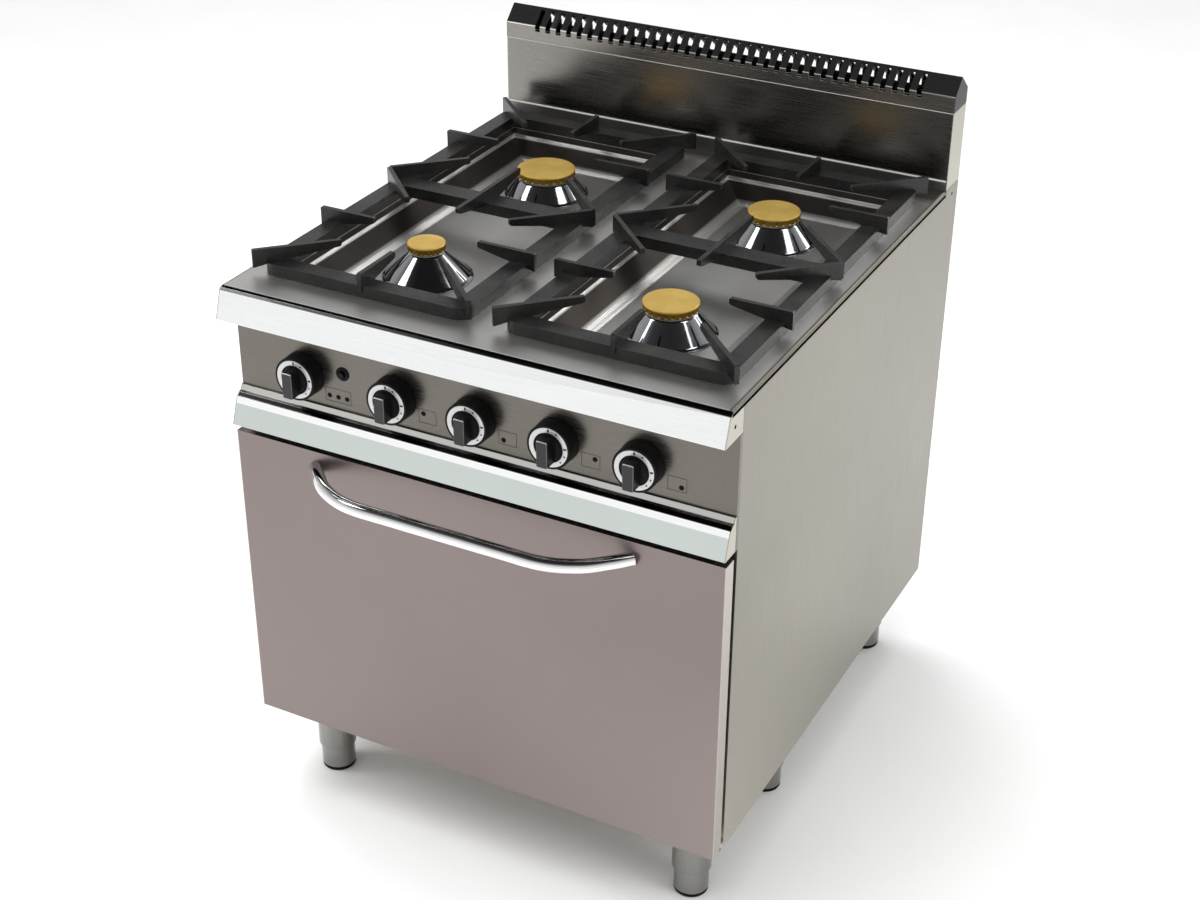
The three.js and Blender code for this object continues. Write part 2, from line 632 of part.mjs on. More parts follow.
function grate() {
  const length = GRATE_BACK - GRATE_FRONT;
  const middle = (GRATE_BACK + GRATE_FRONT) / 2;
  const low = HOB_Z + GAP;
  const frame = prismZ(roundedRect(GRATE_W, length, 24), low, low + BAR_H, middle);
  const bay = (y0, y1) => prismZ(
    roundedRect(GRATE_W - 2 * BAR, y1 - y0, 6), low - 5, low + BAR_H + 5, (y0 + y1) / 2, 2);
  let body = cut(frame,
    bay(GRATE_FRONT + BAR, middle - CROSS_BAR / 2),
    bay(middle + CROSS_BAR / 2, GRATE_BACK - BAR));
  const reachX = FINGER_END - FINGER_TIP;
  for (const y of BURNER_Y) {
    const towardsFront = y < middle;
    const outerY = towardsFront ? y - GRATE_FRONT : GRATE_BACK - y;
    for (let i = 0; i < 8; i += 1) {
      const diagonal = i % 2 === 1;
      const alongX = i % 4 === 0;
      const toCross = (i === 2 && towardsFront) || (i === 6 && !towardsFront);
      let reach = diagonal ? reachX * Math.SQRT2 - 4 : reachX;
      if (!diagonal && !alongX) reach = outerY - FINGER_TIP + 2;
      if (toCross) reach = Math.abs(middle - y) - FINGER_TIP;
      const tip = diagonal ? FINGER_TIP * Math.SQRT2 : FINGER_TIP;
      body = body.add(finger(tip, reach, (i * Math.PI) / 4, y));
    }
  }
  return body;
}
piece('grate_left', grate(), IRON, BAY_X[0], 0, 0);
piece('grate_right', grate(), IRON, BAY_X[1], 0, 0);

// ---------- feet: a steel sleeve under the body and a screw foot in it ----------
function sleeve() {
  return cut(
    rod('z', SLEEVE_BOTTOM, BODY_Z - GAP, 0, 0, SLEEVE_R, 24),
    rod('z', SLEEVE_BOTTOM - 5, BODY_Z - 20, 0, 0, FOOT_R + 0.6, 24),
  );
}

function foot() {
  return turned([
    [0, 0], [FOOT_R - 3, 0], [FOOT_R - 1.5, 2], [FOOT_R - 1.5, 6], [FOOT_R, 6], [FOOT_R, 90], [0, 90],
  ], 24);
}

const ROWS = ['front', 'middle', 'back'];
ROWS.forEach((row, i) => {
  for (const [side, sign] of [['left', -1], ['right', 1]]) {
    const leg = new THREE.Group();
    leg.position.set(sign * FOOT_X, FOOT_Y[i], 0);
    range.add(leg);
    piece(`leg_sleeve_${row}_${side}`, sleeve(), SATIN, 0, 0, 0, leg);
    piece(`foot_${row}_${side}`, foot(), BRIGHT, 0, 0, 0, leg);
  }
});

export default range;
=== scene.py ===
# Commercial gas range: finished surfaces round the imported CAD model. Metres, +Z up, front towards -Y.
import math

import bmesh
import bpy
from mathutils import Matrix, Vector


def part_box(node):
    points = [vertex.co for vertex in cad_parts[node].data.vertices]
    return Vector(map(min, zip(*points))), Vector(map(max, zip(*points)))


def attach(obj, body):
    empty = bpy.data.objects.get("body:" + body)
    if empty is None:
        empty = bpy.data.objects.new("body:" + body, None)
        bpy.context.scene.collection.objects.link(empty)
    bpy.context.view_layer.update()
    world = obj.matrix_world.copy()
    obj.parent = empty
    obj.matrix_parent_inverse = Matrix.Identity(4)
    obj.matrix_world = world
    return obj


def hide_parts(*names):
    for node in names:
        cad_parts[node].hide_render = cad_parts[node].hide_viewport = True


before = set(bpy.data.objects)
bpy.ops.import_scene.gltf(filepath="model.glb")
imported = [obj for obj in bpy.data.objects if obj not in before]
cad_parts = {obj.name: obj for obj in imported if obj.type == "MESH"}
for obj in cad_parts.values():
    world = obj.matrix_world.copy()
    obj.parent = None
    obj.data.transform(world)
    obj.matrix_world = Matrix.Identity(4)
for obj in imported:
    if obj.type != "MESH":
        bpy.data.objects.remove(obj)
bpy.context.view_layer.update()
MM = 0.001
scene = bpy.context.scene


# ---------- sizes taken from the frame ----------
def low(node):
    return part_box(node)[0]


def high(node):
    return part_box(node)[1]


def middle(node):
    corner_a, corner_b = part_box(node)
    return (corner_a + corner_b) / 2


def width(node):
    return (high(node) - low(node)).x


PANEL_Y = low("control_panel").y
DOOR_Y = low("door_outer").y
DOOR_X = high("door_outer").x
HALF = high("side_panel_right").x

# hob plate: its level top, the top of its upturn at the back, and the two recesses
HOB_Z = high("side_panel_right").z
HOB_FRONT = low("hob_top").y
HOB_TOP = high("hob_top").z
RECESS_FLOOR_Z = low("hob_top").z + 0.0015
BAY_X = middle("burner_cap_front_right").x
BAY_Y = (middle("burner_cap_front_right").y + middle("burner_cap_back_right").y) / 2
BAY_LENGTH = 0.660
BAY_WIDTH = 0.288
RIM_WALL = 0.018
WALL_FOOT_Z = HOB_Z - RIM_WALL
FLOOR_RUN = 0.037
STEP_RISE = 0.016
STEP_RUN = 0.018
WALL_ROUND = 0.007

# front rail: the foot of its bent top edge, and the corner of the gap behind that edge
RAIL_EDGE_Z = HOB_Z - 0.0064
RAIL_GAP_Y = low("front_rail").y + 0.0172
RAIL_GAP_Z = HOB_Z - 0.0095

# lower rail: where its bevel, its level top and its upturn start
LOWER_BEVEL_Z = low("lower_rail").z + 0.0316
LOWER_TOP_Z = low("lower_rail").z + 0.0412
LOWER_UPTURN_Z = low("lower_rail").z + 0.0459

# flue: the foot of the cap, and the eaves where the cap's slopes begin
CAP_Z = low("flue_cap").z
EAVES_Z = high("flue_cap").z - 0.0257

BURNERS = ("front_left", "front_right", "back_left", "back_right")
KNOBS = tuple(f"knob_{i}" for i in range(1, 6))
LEGS = tuple(f"{row}_{side}" for row in ("front", "middle", "back") for side in ("left", "right"))


# ---------- material building blocks ----------
class Nodes:
    """A new material's node tree with short ways to add what the finishes below share."""

    def __init__(self, name):
        self.material = bpy.data.materials.new(name)
        self.material.use_nodes = True
        self.tree = self.material.node_tree
        self.shader = self.tree.nodes["Principled BSDF"]
        self.place = self.tree.nodes.new("ShaderNodeTexCoord").outputs["Object"]

    def link(self, output, target):
        self.tree.links.new(output, target)

    def set(self, **values):
        """Sets constant values on the shader; Base_Color stands for its Base Color."""
        for name, value in values.items():
            self.shader.inputs[name.replace("_", " ")].default_value = value

    def drive(self, **outputs):
        """Links node outputs to the shader, named in the same way."""
        for name, output in outputs.items():
            self.link(output, self.shader.inputs[name.replace("_", " ")])

    def noise(self, scale, stretch=(1, 1, 1), detail=3.0):
        mapping = self.tree.nodes.new("ShaderNodeMapping")
        mapping.inputs["Scale"].default_value = stretch
        self.link(self.place, mapping.inputs["Vector"])
        texture = self.tree.nodes.new("ShaderNodeTexNoise")
        texture.inputs["Scale"].default_value = scale
        texture.inputs["Detail"].default_value = detail
        self.link(mapping.outputs["Vector"], texture.inputs["Vector"])
        return texture.outputs["Fac"]

    def spread(self, factor, start, end, near=0.35, far=0.65):
        node = self.tree.nodes.new("ShaderNodeMapRange")
        node.inputs["From Min"].default_value = near
        node.inputs["From Max"].default_value = far
        node.inputs["To Min"].default_value = start
        node.inputs["To Max"].default_value = end
        self.link(factor, node.inputs["Value"])
        return node.outputs["Result"]

    def along(self, axis):
        """The place along X, Y or Z."""
        split = self.tree.nodes.new("ShaderNodeSeparateXYZ")
        self.link(self.place, split.inputs[0])
        return split.outputs["XYZ".index(axis)]

    def past(self, axis, place, blur=0.0006):
        """0 below a place along an axis and 1 above it."""
        return self.spread(self.along(axis), 0, 1, place - blur, place + blur)

    def math(self, operation, *values):
        node = self.tree.nodes.new("ShaderNodeMath")
        node.operation = operation
        for value, socket in zip(values, node.inputs):
            if isinstance(value, float):
                socket.default_value = value
            else:
                self.link(value, socket)
        return node.outputs[0]

    def smooth(self, factor, start, end, near, far):
        """Like spread, with an easy start and end."""
        result = self.spread(factor, start, end, near, far)
        result.node.interpolation_type = "SMOOTHSTEP"
        return result

    def times(self, first, second):
        return self.math("MULTIPLY", first, second)

    def upward(self, low, high):
        """0 on faces that look level or down and 1 on faces that look up."""
        geometry = self.tree.nodes.new("ShaderNodeNewGeometry")
        split = self.tree.nodes.new("ShaderNodeSeparateXYZ")
        self.link(geometry.outputs["Normal"], split.inputs[0])
        return self.spread(split.outputs["Z"], 0, 1, low, high)

    def beyond(self, axis, distance, blur=0.0006):
        """0 near the middle of the range and 1 past a distance from it on either side."""
        away = self.math("ABSOLUTE", self.along(axis))
        return self.spread(away, 0, 1, distance - blur, distance + blur)

    def below(self, axis, near, far):
        """1 up to a place along an axis, fading to 0 at a second place."""
        return self.spread(self.along(axis), 1, 0, near, far)

    def mix(self, factor, first, second):
        """Blends two colours. The factor may be a number, and each colour a tuple or an output."""
        node = self.tree.nodes.new("ShaderNodeMix")
        node.data_type = "RGBA"
        if isinstance(factor, float):
            node.inputs[0].default_value = factor
        else:
            self.link(factor, node.inputs[0])
        for socket, value in ((node.inputs[6], first), (node.inputs[7], second)):
            if isinstance(value, tuple):
                socket.default_value = (*value, 1)
            else:
                self.link(value, socket)
        return node.outputs[2]

    def bump(self, height, strength, distance):
        """Adds a bump to the surface, on top of any that is there already."""
        node = self.tree.nodes.new("ShaderNodeBump")
        node.inputs["Strength"].default_value = strength
        node.inputs["Distance"].default_value = distance
        self.link(height, node.inputs["Height"])
        skin = self.shader.inputs["Normal"]
        if skin.is_linked:
            self.link(skin.links[0].from_socket, node.inputs["Normal"])
        self.link(node.outputs["Normal"], skin)


def shade(colour, factor):
    return tuple(c * factor for c in colour)


SIDE_TONE = (0.43, 0.405, 0.345)
SHADOW = (0.012, 0.012, 0.012)
CLOUDING = 0.04
GRAIN = {"x": (0.012, 1, 1), "y": (1, 0.012, 1), "z": (1, 1, 0.012)}


def steel(name, colour, rough, grain="x", contrast=0.03, metallic=1.0, depth=0.015, patches=(), relief=None,
          matt=None, gloss=0.5):
    """Brushed or rolled stainless steel: fine scratches along one axis and a faint uneven tone.

    grain is the axis of the scratches, contrast how much their tone differs, and depth how deep they are.
    patches are functions that take the nodes and give a mask and the colour of that stretch of the sheet.
    relief is a function that takes the nodes and gives the height in metres of soft bends in the sheet.
    matt is a function that takes the nodes and gives a mask of what scatters light instead of mirroring.
    gloss is the shine of those matt places."""
    m = Nodes(name)
    m.set(Metallic=metallic, Specular_IOR_Level=gloss)
    if matt:
        m.drive(Metallic=m.spread(matt(m), metallic, 0, 0, 1))
    scratches = m.noise(900, GRAIN[grain], detail=4)
    clouds = m.noise(3.2, detail=4)
    scratched = m.mix(m.spread(scratches, 0, 1), shade(colour, 1 - contrast), shade(colour, 1 + contrast))
    uneven = m.mix(m.spread(clouds, 0, 1), shade(colour, 1 - CLOUDING), shade(colour, 1 + CLOUDING))
    surface = m.mix(0.5, scratched, uneven)
    for patch in patches:
        mask, patch_colour = patch(m)
        surface = m.mix(mask, surface, patch_colour)
    m.drive(Base_Color=surface, Roughness=m.spread(scratches, rough - 0.05, rough + 0.05))
    m.bump(scratches, depth, 0.0001)
    if relief:
        m.bump(relief(m), 1.0, 1.0)
    return m.material


def recess_bends(m):
    """The rounded foot of each recess wall, and the soft step where its sloped edge runs into the floor."""
    x = m.along("X")
    nearer_bay = m.math("MULTIPLY", m.math("SIGN", x), BAY_X)
    across = m.math("ABSOLUTE", m.math("SUBTRACT", x, nearer_bay))
    along = m.math("ABSOLUTE", m.math("SUBTRACT", m.along("Y"), BAY_Y))
    outward = m.math("MAXIMUM", m.math("ADD", across, (BAY_LENGTH - BAY_WIDTH) / 2), along)
    crease = BAY_LENGTH / 2 - FLOOR_RUN
    step = m.smooth(outward, 0.0, STEP_RISE, crease + 0.002 - STEP_RUN, crease + 0.002)
    wall = m.smooth(m.along("Z"), 0.005, 0.0, WALL_FOOT_Z, WALL_FOOT_Z + WALL_ROUND)
    return m.math("ADD", step, wall)


def end_face_painted_light(m):
    """Painted light and shade: the side faces of a sheet that runs across the range take the tone of the
    side panels, not the sheet's own.
    """
    return m.beyond("X", HALF - 0.0014), SIDE_TONE


def side_painted_reflection(m):
    """Painted reflection: a slightly brighter lower front corner, where the side panel catches the floor."""
    corner = m.times(m.below("Z", 0.15, 0.60), m.below("Y", -0.42, 0.20))
    return corner, shade(SIDE_TONE, 1.12)


def door_painted_reflection(m):
    """The same painted reflection on the door's lower right corner."""
    corner = m.times(m.below("Z", 0.15, 0.50), m.spread(m.along("X"), 0, 1, 0, HALF))
    return corner, (0.31, 0.262, 0.252)


def door_edge_reflection(m):
    """Painted reflection of the floor on the door's turned side edges."""
    return m.beyond("X", DOOR_X - 0.0012), (0.50, 0.465, 0.42)


def flue_painted_shade(m):
    """Painted shade: the back wall is darker towards its right end."""
    return m.spread(m.along("X"), 0, 1, -HALF, HALF * 0.4), (0.19, 0.18, 0.17)


def flue_joint_highlight_mask(m):
    """1 on the joint under the cap, where a highlight is painted."""
    return m.past("Z", CAP_Z - 0.0012, 0.0003)


# painted highlight: a bright line on that joint, made matt so that the lamps light it
def flue_joint_highlight(m):
    return flue_joint_highlight_mask(m), (0.62, 0.62, 0.60)


def hob_upturn_highlight_mask(m):
    """1 on the top edge of the hob plate's upturn, at the foot of the back wall, where a highlight is
    painted.
    """
    return m.past("Z", HOB_TOP - 0.0020, 0.0003)


# painted highlight: a bright line along that edge, made matt so that the lamps light it
def hob_upturn_highlight(m):
    return hob_upturn_highlight_mask(m), (0.66, 0.66, 0.64)


def cap_eaves_highlight(m):
    """A painted highlight on the fold where the slotted slopes begin."""
    fold = m.times(m.past("Z", EAVES_Z - 0.0012, 0.0003), m.below("Z", EAVES_Z, EAVES_Z + 0.0006))
    return fold, (0.85, 0.85, 0.83)


def hob_side_bend_shade(m):
    """Painted shade on the fold along each side of the hob plate."""
    return m.beyond("X", HALF - 0.0052, 0.0012), shade(SIDE_TONE, 0.55)


def rail_edge_painted_light(m):
    """The front rail's bent top edge, with a painted highlight at the left end that fades to painted shade
    at the right.
    """
    fade = m.mix(m.spread(m.along("X"), 0, 1, -HALF, HALF * 0.1), (0.62, 0.62, 0.63), (0.03, 0.03, 0.03))
    return m.past("Z", RAIL_EDGE_Z), fade


def rail_gap_shadow(m):
    """Painted shadow in the gap behind that edge and inside the rail."""
    return m.times(m.past("Y", RAIL_GAP_Y, 0.0002), m.past("Z", RAIL_GAP_Z)), SHADOW


def recess_wall_reflection(m):
    """The upright walls of the two recesses, with a painted reflection of the dark grates."""
    upright = m.times(m.past("Z", WALL_FOOT_Z + 0.0065), m.below("Z", HOB_Z - 0.0015, HOB_Z))
    return upright, (0.10, 0.085, 0.075)


def recess_slope_reflection(m):
    """The sloped edges of the recess floors, below the walls, with a painted dark reflection."""
    under_wall = m.below("Z", WALL_FOOT_Z - 0.001, WALL_FOOT_Z)
    return m.times(m.past("Z", RECESS_FLOOR_Z + 0.0035, 0.001), under_wall), (0.16, 0.14, 0.125)


def hob_back_reflection(m):
    """The strip behind the recesses, with a painted reflection of the dark back wall."""
    return m.past("Y", BAY_Y + BAY_LENGTH / 2 + 0.024, 0.012), (0.24, 0.235, 0.23)


def hob_front_fold_shadow(m):
    """Painted shadow on the hob plate's front fold, in the gap behind the rail."""
    front = m.below("Y", HOB_FRONT + 0.0004, HOB_FRONT + 0.0016)
    return m.times(front, m.below("Z", HOB_Z - 0.0008, HOB_Z - 0.0001)), SHADOW


# painted highlight: the lower rail's bevel is white
def lower_rail_bevel_highlight(m):
    return m.past("Z", LOWER_BEVEL_Z), (1.0, 1.0, 1.0)


# painted reflection: the lower rail's level top is near-black
def lower_rail_top_reflection(m):
    return m.past("Z", LOWER_TOP_Z), (0.03, 0.03, 0.03)


def lower_rail_upturn(m):
    return m.past("Z", LOWER_UPTURN_Z), (0.66, 0.65, 0.63)


def cap_black_mask(m):
    """1 on the slotted slopes and the end faces of the flue cap."""
    return m.math("MAXIMUM", m.past("Z", EAVES_Z + 0.0004), m.beyond("X", HALF - 0.0008))


def cap_black(m):
    """Steel that the flue gas has burnt black."""
    return cap_black_mask(m), (0.011, 0.011, 0.011)


def polished(name, colour, rough=0.07):
    """Polished metal with faint wipe marks in its gloss."""
    m = Nodes(name)
    m.set(Metallic=1.0)
    smears = m.noise(26, (1, 1, 2.5), detail=5)
    m.drive(
        Base_Color=m.mix(m.spread(smears, 0, 1), shade(colour, 0.93), colour),
        Roughness=m.spread(smears, rough * 0.7, rough * 1.6))
    return m.material


def brass(name):
    """Machined brass that heat has dulled: a fine grain and warm stains, with painted shade on the sides,
    which are darker than the top.
    """
    m = Nodes(name)
    m.set(Metallic=0.75)
    stains = m.noise(38, detail=2)
    grains = m.noise(1400, detail=2)
    top = m.mix(m.spread(stains, 0, 1, 0.3, 0.75), (0.72, 0.47, 0.105), (0.86, 0.60, 0.165))
    # painted shade: faces that look level or down take a darker brass than those that look up
    m.drive(
        Base_Color=m.mix(m.upward(0.2, 0.8), (0.30, 0.18, 0.03), top),
        Roughness=m.spread(stains, 0.36, 0.42))
    m.bump(grains, 0.10, 0.0002)
    return m.material


def cast_iron(name, dark, pale):
    """Enamelled cast iron: near-black, with a fine sandy skin and paler patches where pans rub."""
    m = Nodes(name)
    m.set(Metallic=0.0, Specular_IOR_Level=0.5)
    sand = m.noise(420, detail=6)
    patches = m.noise(22, detail=5)
    m.drive(Base_Color=m.mix(m.spread(patches, 0, 1), dark, pale), Roughness=m.spread(sand, 0.26, 0.46))
    m.bump(sand, 0.30, 0.0005)
    return m.material


def moulded(name, colour, rough=0.32, grain=0.15, gloss=0.45):
    """Moulded plastic or rubber with a fine leathery skin."""
    m = Nodes(name)
    m.set(Specular_IOR_Level=gloss)
    skin = m.noise(1300, detail=3)
    dust = m.noise(30, detail=4)
    m.drive(
        Base_Color=m.mix(m.spread(dust, 0, 1), shade(colour, 0.8), shade(colour, 1.25)),
        Roughness=m.spread(dust, rough - 0.05, rough + 0.08))
    m.bump(skin, grain, 0.0002)
    return m.material


def enamel(name):
    """Dark vitreous enamel with white specks."""
    m = Nodes(name)
    specks = m.noise(700, detail=1)
    m.drive(
        Base_Color=m.mix(m.spread(specks, 0, 1, 0.70, 0.74), (0.028, 0.031, 0.036), (0.45, 0.46, 0.48)),
        Roughness=m.spread(m.noise(9), 0.16, 0.30))
    m.bump(m.noise(120), 0.08, 0.0004)
    return m.material


def wool(name):
    """Yellow mineral wool, all fibres."""
    m = Nodes(name)
    m.set(Roughness=0.95)
    fibres = m.noise(260, (1, 0.2, 1), detail=8)
    m.drive(Base_Color=m.mix(m.spread(fibres, 0, 1), (0.50, 0.44, 0.27), (0.78, 0.73, 0.54)))
    m.bump(fibres, 0.8, 0.002)
    return m.material


def printed(name, colour):
    """Printing ink, slightly worn."""
    m = Nodes(name)
    m.set(Specular_IOR_Level=0.1)
    wear = m.noise(500, detail=3)
    m.drive(
        Base_Color=m.mix(m.spread(wear, 0, 1), colour, shade(colour, 1.6)),
        Roughness=m.spread(wear, 0.4, 0.6))
    return m.material


SIDE_STEEL = steel("side_steel", shade(SIDE_TONE, 0.62), 0.36, "z", patches=[side_painted_reflection])
DOOR_STEEL = steel("door_steel", (0.245, 0.206, 0.198), 0.38, "x", patches=[door_painted_reflection, door_edge_reflection])
PANEL_STEEL = steel("panel_steel", (0.165, 0.152, 0.136), 0.30, "x")
HOB_STEEL = steel(
    "hob_steel", (1.0, 0.99, 0.96), 0.47, "y", contrast=0.0, depth=0.004,
    patches=[recess_wall_reflection, recess_slope_reflection, hob_back_reflection, hob_side_bend_shade, hob_front_fold_shadow, hob_upturn_highlight],
    relief=recess_bends, matt=hob_upturn_highlight_mask)
RAIL_STEEL = steel(
    "rail_steel", (0.94, 0.95, 0.95), 0.24, "x", contrast=0.0, depth=0.002,
    patches=[end_face_painted_light, rail_edge_painted_light, rail_gap_shadow])
LOWER_STEEL = steel(
    "lower_rail_steel", (0.61, 0.66, 0.635), 0.15, "x", contrast=0.005, depth=0.002,
    patches=[lower_rail_bevel_highlight, lower_rail_top_reflection, lower_rail_upturn, end_face_painted_light])
FLUE_STEEL = steel(
    "flue_steel", (0.25, 0.24, 0.22), 0.26, "x", contrast=0.01, depth=0.006,
    patches=[flue_painted_shade, flue_joint_highlight, end_face_painted_light], matt=flue_joint_highlight_mask)
CAP_STEEL = steel(
    "cap_steel", (0.27, 0.255, 0.235), 0.24, "x", depth=0.006, patches=[cap_eaves_highlight, cap_black],
    matt=cap_black_mask, gloss=0.1)
FRAME_STEEL = steel("frame_steel", (0.10, 0.10, 0.10), 0.4, "x")
LEG_STEEL = steel("leg_steel", (0.25, 0.25, 0.235), 0.24, "z")
FOOT_STEEL = steel("foot_steel", (0.27, 0.265, 0.255), 0.18, "z")
LINER_STEEL = steel("liner_steel", (0.60, 0.60, 0.58), 0.28, "x")
CHROME = polished("chrome", (0.90, 0.90, 0.90), 0.05)
CONE_STEEL = polished("cone_steel", (0.42, 0.43, 0.45), 0.06)
BRASS = brass("burner_brass")
IRON = cast_iron("grate_iron", (0.006, 0.006, 0.006), (0.016, 0.015, 0.014))
# a paler iron that paints a highlight along the grates' rounded edges
HIGHLIGHT_IRON = cast_iron("edge_highlight_iron", (0.05, 0.05, 0.05), (0.16, 0.16, 0.155))
KNOB_BLACK = moulded("knob_black", (0.014, 0.014, 0.014), 0.30)
# a duller, darker black that paints shade on the knobs' skirts and the grips' sides; the igniter is made of
# it too
KNOB_SIDE = moulded("knob_side", (0.005, 0.005, 0.005), 0.38, gloss=0.14)
# a grey that paints a highlight on the grips' edges
KNOB_EDGE_HIGHLIGHT = moulded("knob_edge_highlight", (0.10, 0.10, 0.10), 0.34)
SOLE_BLACK = moulded("sole_black", (0.004, 0.004, 0.004), 0.6, 0.4, gloss=0.1)
SEAL_BLACK = moulded("seal_black", (0.02, 0.02, 0.02), 0.7, 0.4)
DIAL_SILVER = steel("dial_silver", (0.64, 0.64, 0.64), 0.34, "x", metallic=0.6)
ENAMEL = enamel("oven_enamel")
WOOL = wool("mineral_wool")
PRINT = printed("black_print", (0.002, 0.002, 0.002))
PALE_PRINT = printed("faint_print", (0.055, 0.052, 0.048))


# ---------- mesh building blocks ----------
def finish_mesh(name, mesh_data, materials, sharp=32):
    """Makes an object of a bmesh, smooth except over edges sharper than the given degrees."""
    bmesh.ops.recalc_face_normals(mesh_data, faces=mesh_data.faces)
    for face in mesh_data.faces:
        face.smooth = True
    for edge in mesh_data.edges:
        if len(edge.link_faces) == 2:
            edge.smooth = edge.calc_face_angle(0) < math.radians(sharp)
    mesh = bpy.data.meshes.new(name)
    mesh_data.to_mesh(mesh)
    mesh_data.free()
    for material in materials:
        mesh.materials.append(material)
    piece = bpy.data.objects.new(name, mesh)
    scene.collection.objects.link(piece)
    return piece


def fillet(profile, radius, steps=4):
    """Rounds the inner corners of an open (r, z) profile."""
    points = [Vector(p) for p in profile]
    rounded = [points[0]]
    for before, corner, after in zip(points, points[1:], points[2:]):
        reach = min(radius, (before - corner).length * 0.45, (after - corner).length * 0.45)
        start = corner + (before - corner).normalized() * reach
        end = corner + (after - corner).normalized() * reach
        for i in range(steps + 1):
            t = i / steps
            rounded.append(start * (1 - t) ** 2 + corner * 2 * t * (1 - t) + end * t ** 2)
    rounded.append(points[-1])
    return [tuple(p) for p in rounded]


def lathe(bm, profile, sides=96, slot_of=None):
    """Turns an (r, z) profile in millimetres about Z. slot_of gives a material slot from a height."""
    rings = []
    for r, z in profile:
        if r < 1e-6:
            rings.append([bm.verts.new((0, 0, z * MM))])
        else:
            turn = [2 * math.pi * i / sides for i in range(sides)]
            rings.append([bm.verts.new((r * MM * math.cos(a), r * MM * math.sin(a), z * MM)) for a in turn])
    for ring_a, ring_b in zip(rings, rings[1:]):
        for i in range(sides):
            turns = ((ring_a, i), (ring_a, i + 1), (ring_b, i + 1), (ring_b, i))
            corners = [ring[turn % sides % len(ring)] for ring, turn in turns]
            unique = list(dict.fromkeys(corners))
            if len(unique) > 2:
                face = bm.faces.new(unique)
                if slot_of:
                    height = sum(v.co.z for v in unique) / len(unique) / MM
                    face.material_index = slot_of(height)
    return rings


def tube(bm, path, radius, sides=28):
    """Sweeps a circle along a list of points that lie in one level plane; both ends are closed."""
    up = Vector((0, 0, 1))
    rings = []
    for i, point in enumerate(path):
        along = (path[min(i + 1, len(path) - 1)] - path[max(i - 1, 0)]).normalized()
        across = along.cross(up).normalized()
        ring = []
        for k in range(sides):
            a = 2 * math.pi * k / sides
            ring.append(bm.verts.new(point + radius * (across * math.cos(a) + up * math.sin(a))))
        rings.append(ring)
    for ring_a, ring_b in zip(rings, rings[1:]):
        for k in range(sides):
            bm.faces.new((ring_a[k], ring_a[(k + 1) % sides], ring_b[(k + 1) % sides], ring_b[k]))
    bm.faces.new(rings[0])
    bm.faces.new(list(reversed(rings[-1])))


def rounded_outline(w, d, r, steps=6):
    """Corners of a rounded rectangle, anticlockwise."""
    points = []
    for quarter, (sx, sy) in enumerate(((1, 1), (-1, 1), (-1, -1), (1, -1))):
        for i in range(steps + 1):
            a = math.radians(90 * (quarter + i / steps))
            points.append((sx * (w / 2 - r) + r * math.cos(a), sy * (d / 2 - r) + r * math.sin(a)))
    return points


def bar(bm, w, d, r, levels):
    """A rounded bar standing on Z: levels are (height, inset) from the foot up, and both ends are closed."""
    rings = []
    for z, inset in levels:
        outline = rounded_outline(w - 2 * inset, d - 2 * inset, max(r - inset * 0.3, 0.4))
        rings.append([bm.verts.new((x * MM, y * MM, z * MM)) for x, y in outline])
    count = len(rings[0])
    for ring_a, ring_b in zip(rings, rings[1:]):
        for i in range(count):
            bm.faces.new((ring_a[i], ring_a[(i + 1) % count], ring_b[(i + 1) % count], ring_b[i]))
    bm.faces.new(rings[-1])
    bm.faces.new(list(reversed(rings[0])))


def plate(bm, x0, x1, y0, y1, z0, z1):
    """A thin printed patch or small block, in millimetres."""
    made = bmesh.ops.create_cube(bm, size=1)["verts"]
    for v in made:
        v.co = Vector((
            (x0 if v.co.x < 0 else x1) * MM,
            (y0 if v.co.y < 0 else y1) * MM,
            (z0 if v.co.z < 0 else z1) * MM,
        ))
    return made


def fit(piece, body, slot_name, *nodes):
    """Rides a piece on a body, in place of the CAD nodes that it shows. The slot name is not used."""
    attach(piece, body)
    if nodes:
        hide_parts(*nodes)


# ---------- CAD nodes that keep their shape: rounded sheet edges and a finish ----------
def dress(node, material, edge=0.6, worn=None, angle=12, steps=3):
    """edge is the width of the rounded edges in millimetres; worn is the material of those edges alone,
    which on the grates paints a highlight along them.
    """
    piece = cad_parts[node]
    piece.data.materials.clear()
    piece.data.materials.append(material)
    weld = piece.modifiers.new("weld", "WELD")
    weld.merge_threshold = 0.00001
    if edge:
        bevel = piece.modifiers.new("edges", "BEVEL")
        bevel.width = edge * MM
        bevel.segments = steps
        bevel.limit_method = "ANGLE"
        bevel.angle_limit = math.radians(angle)
        bevel.harden_normals = True
        bevel.use_clamp_overlap = True
        if worn:
            piece.data.materials.append(worn)
            bevel.material = 1


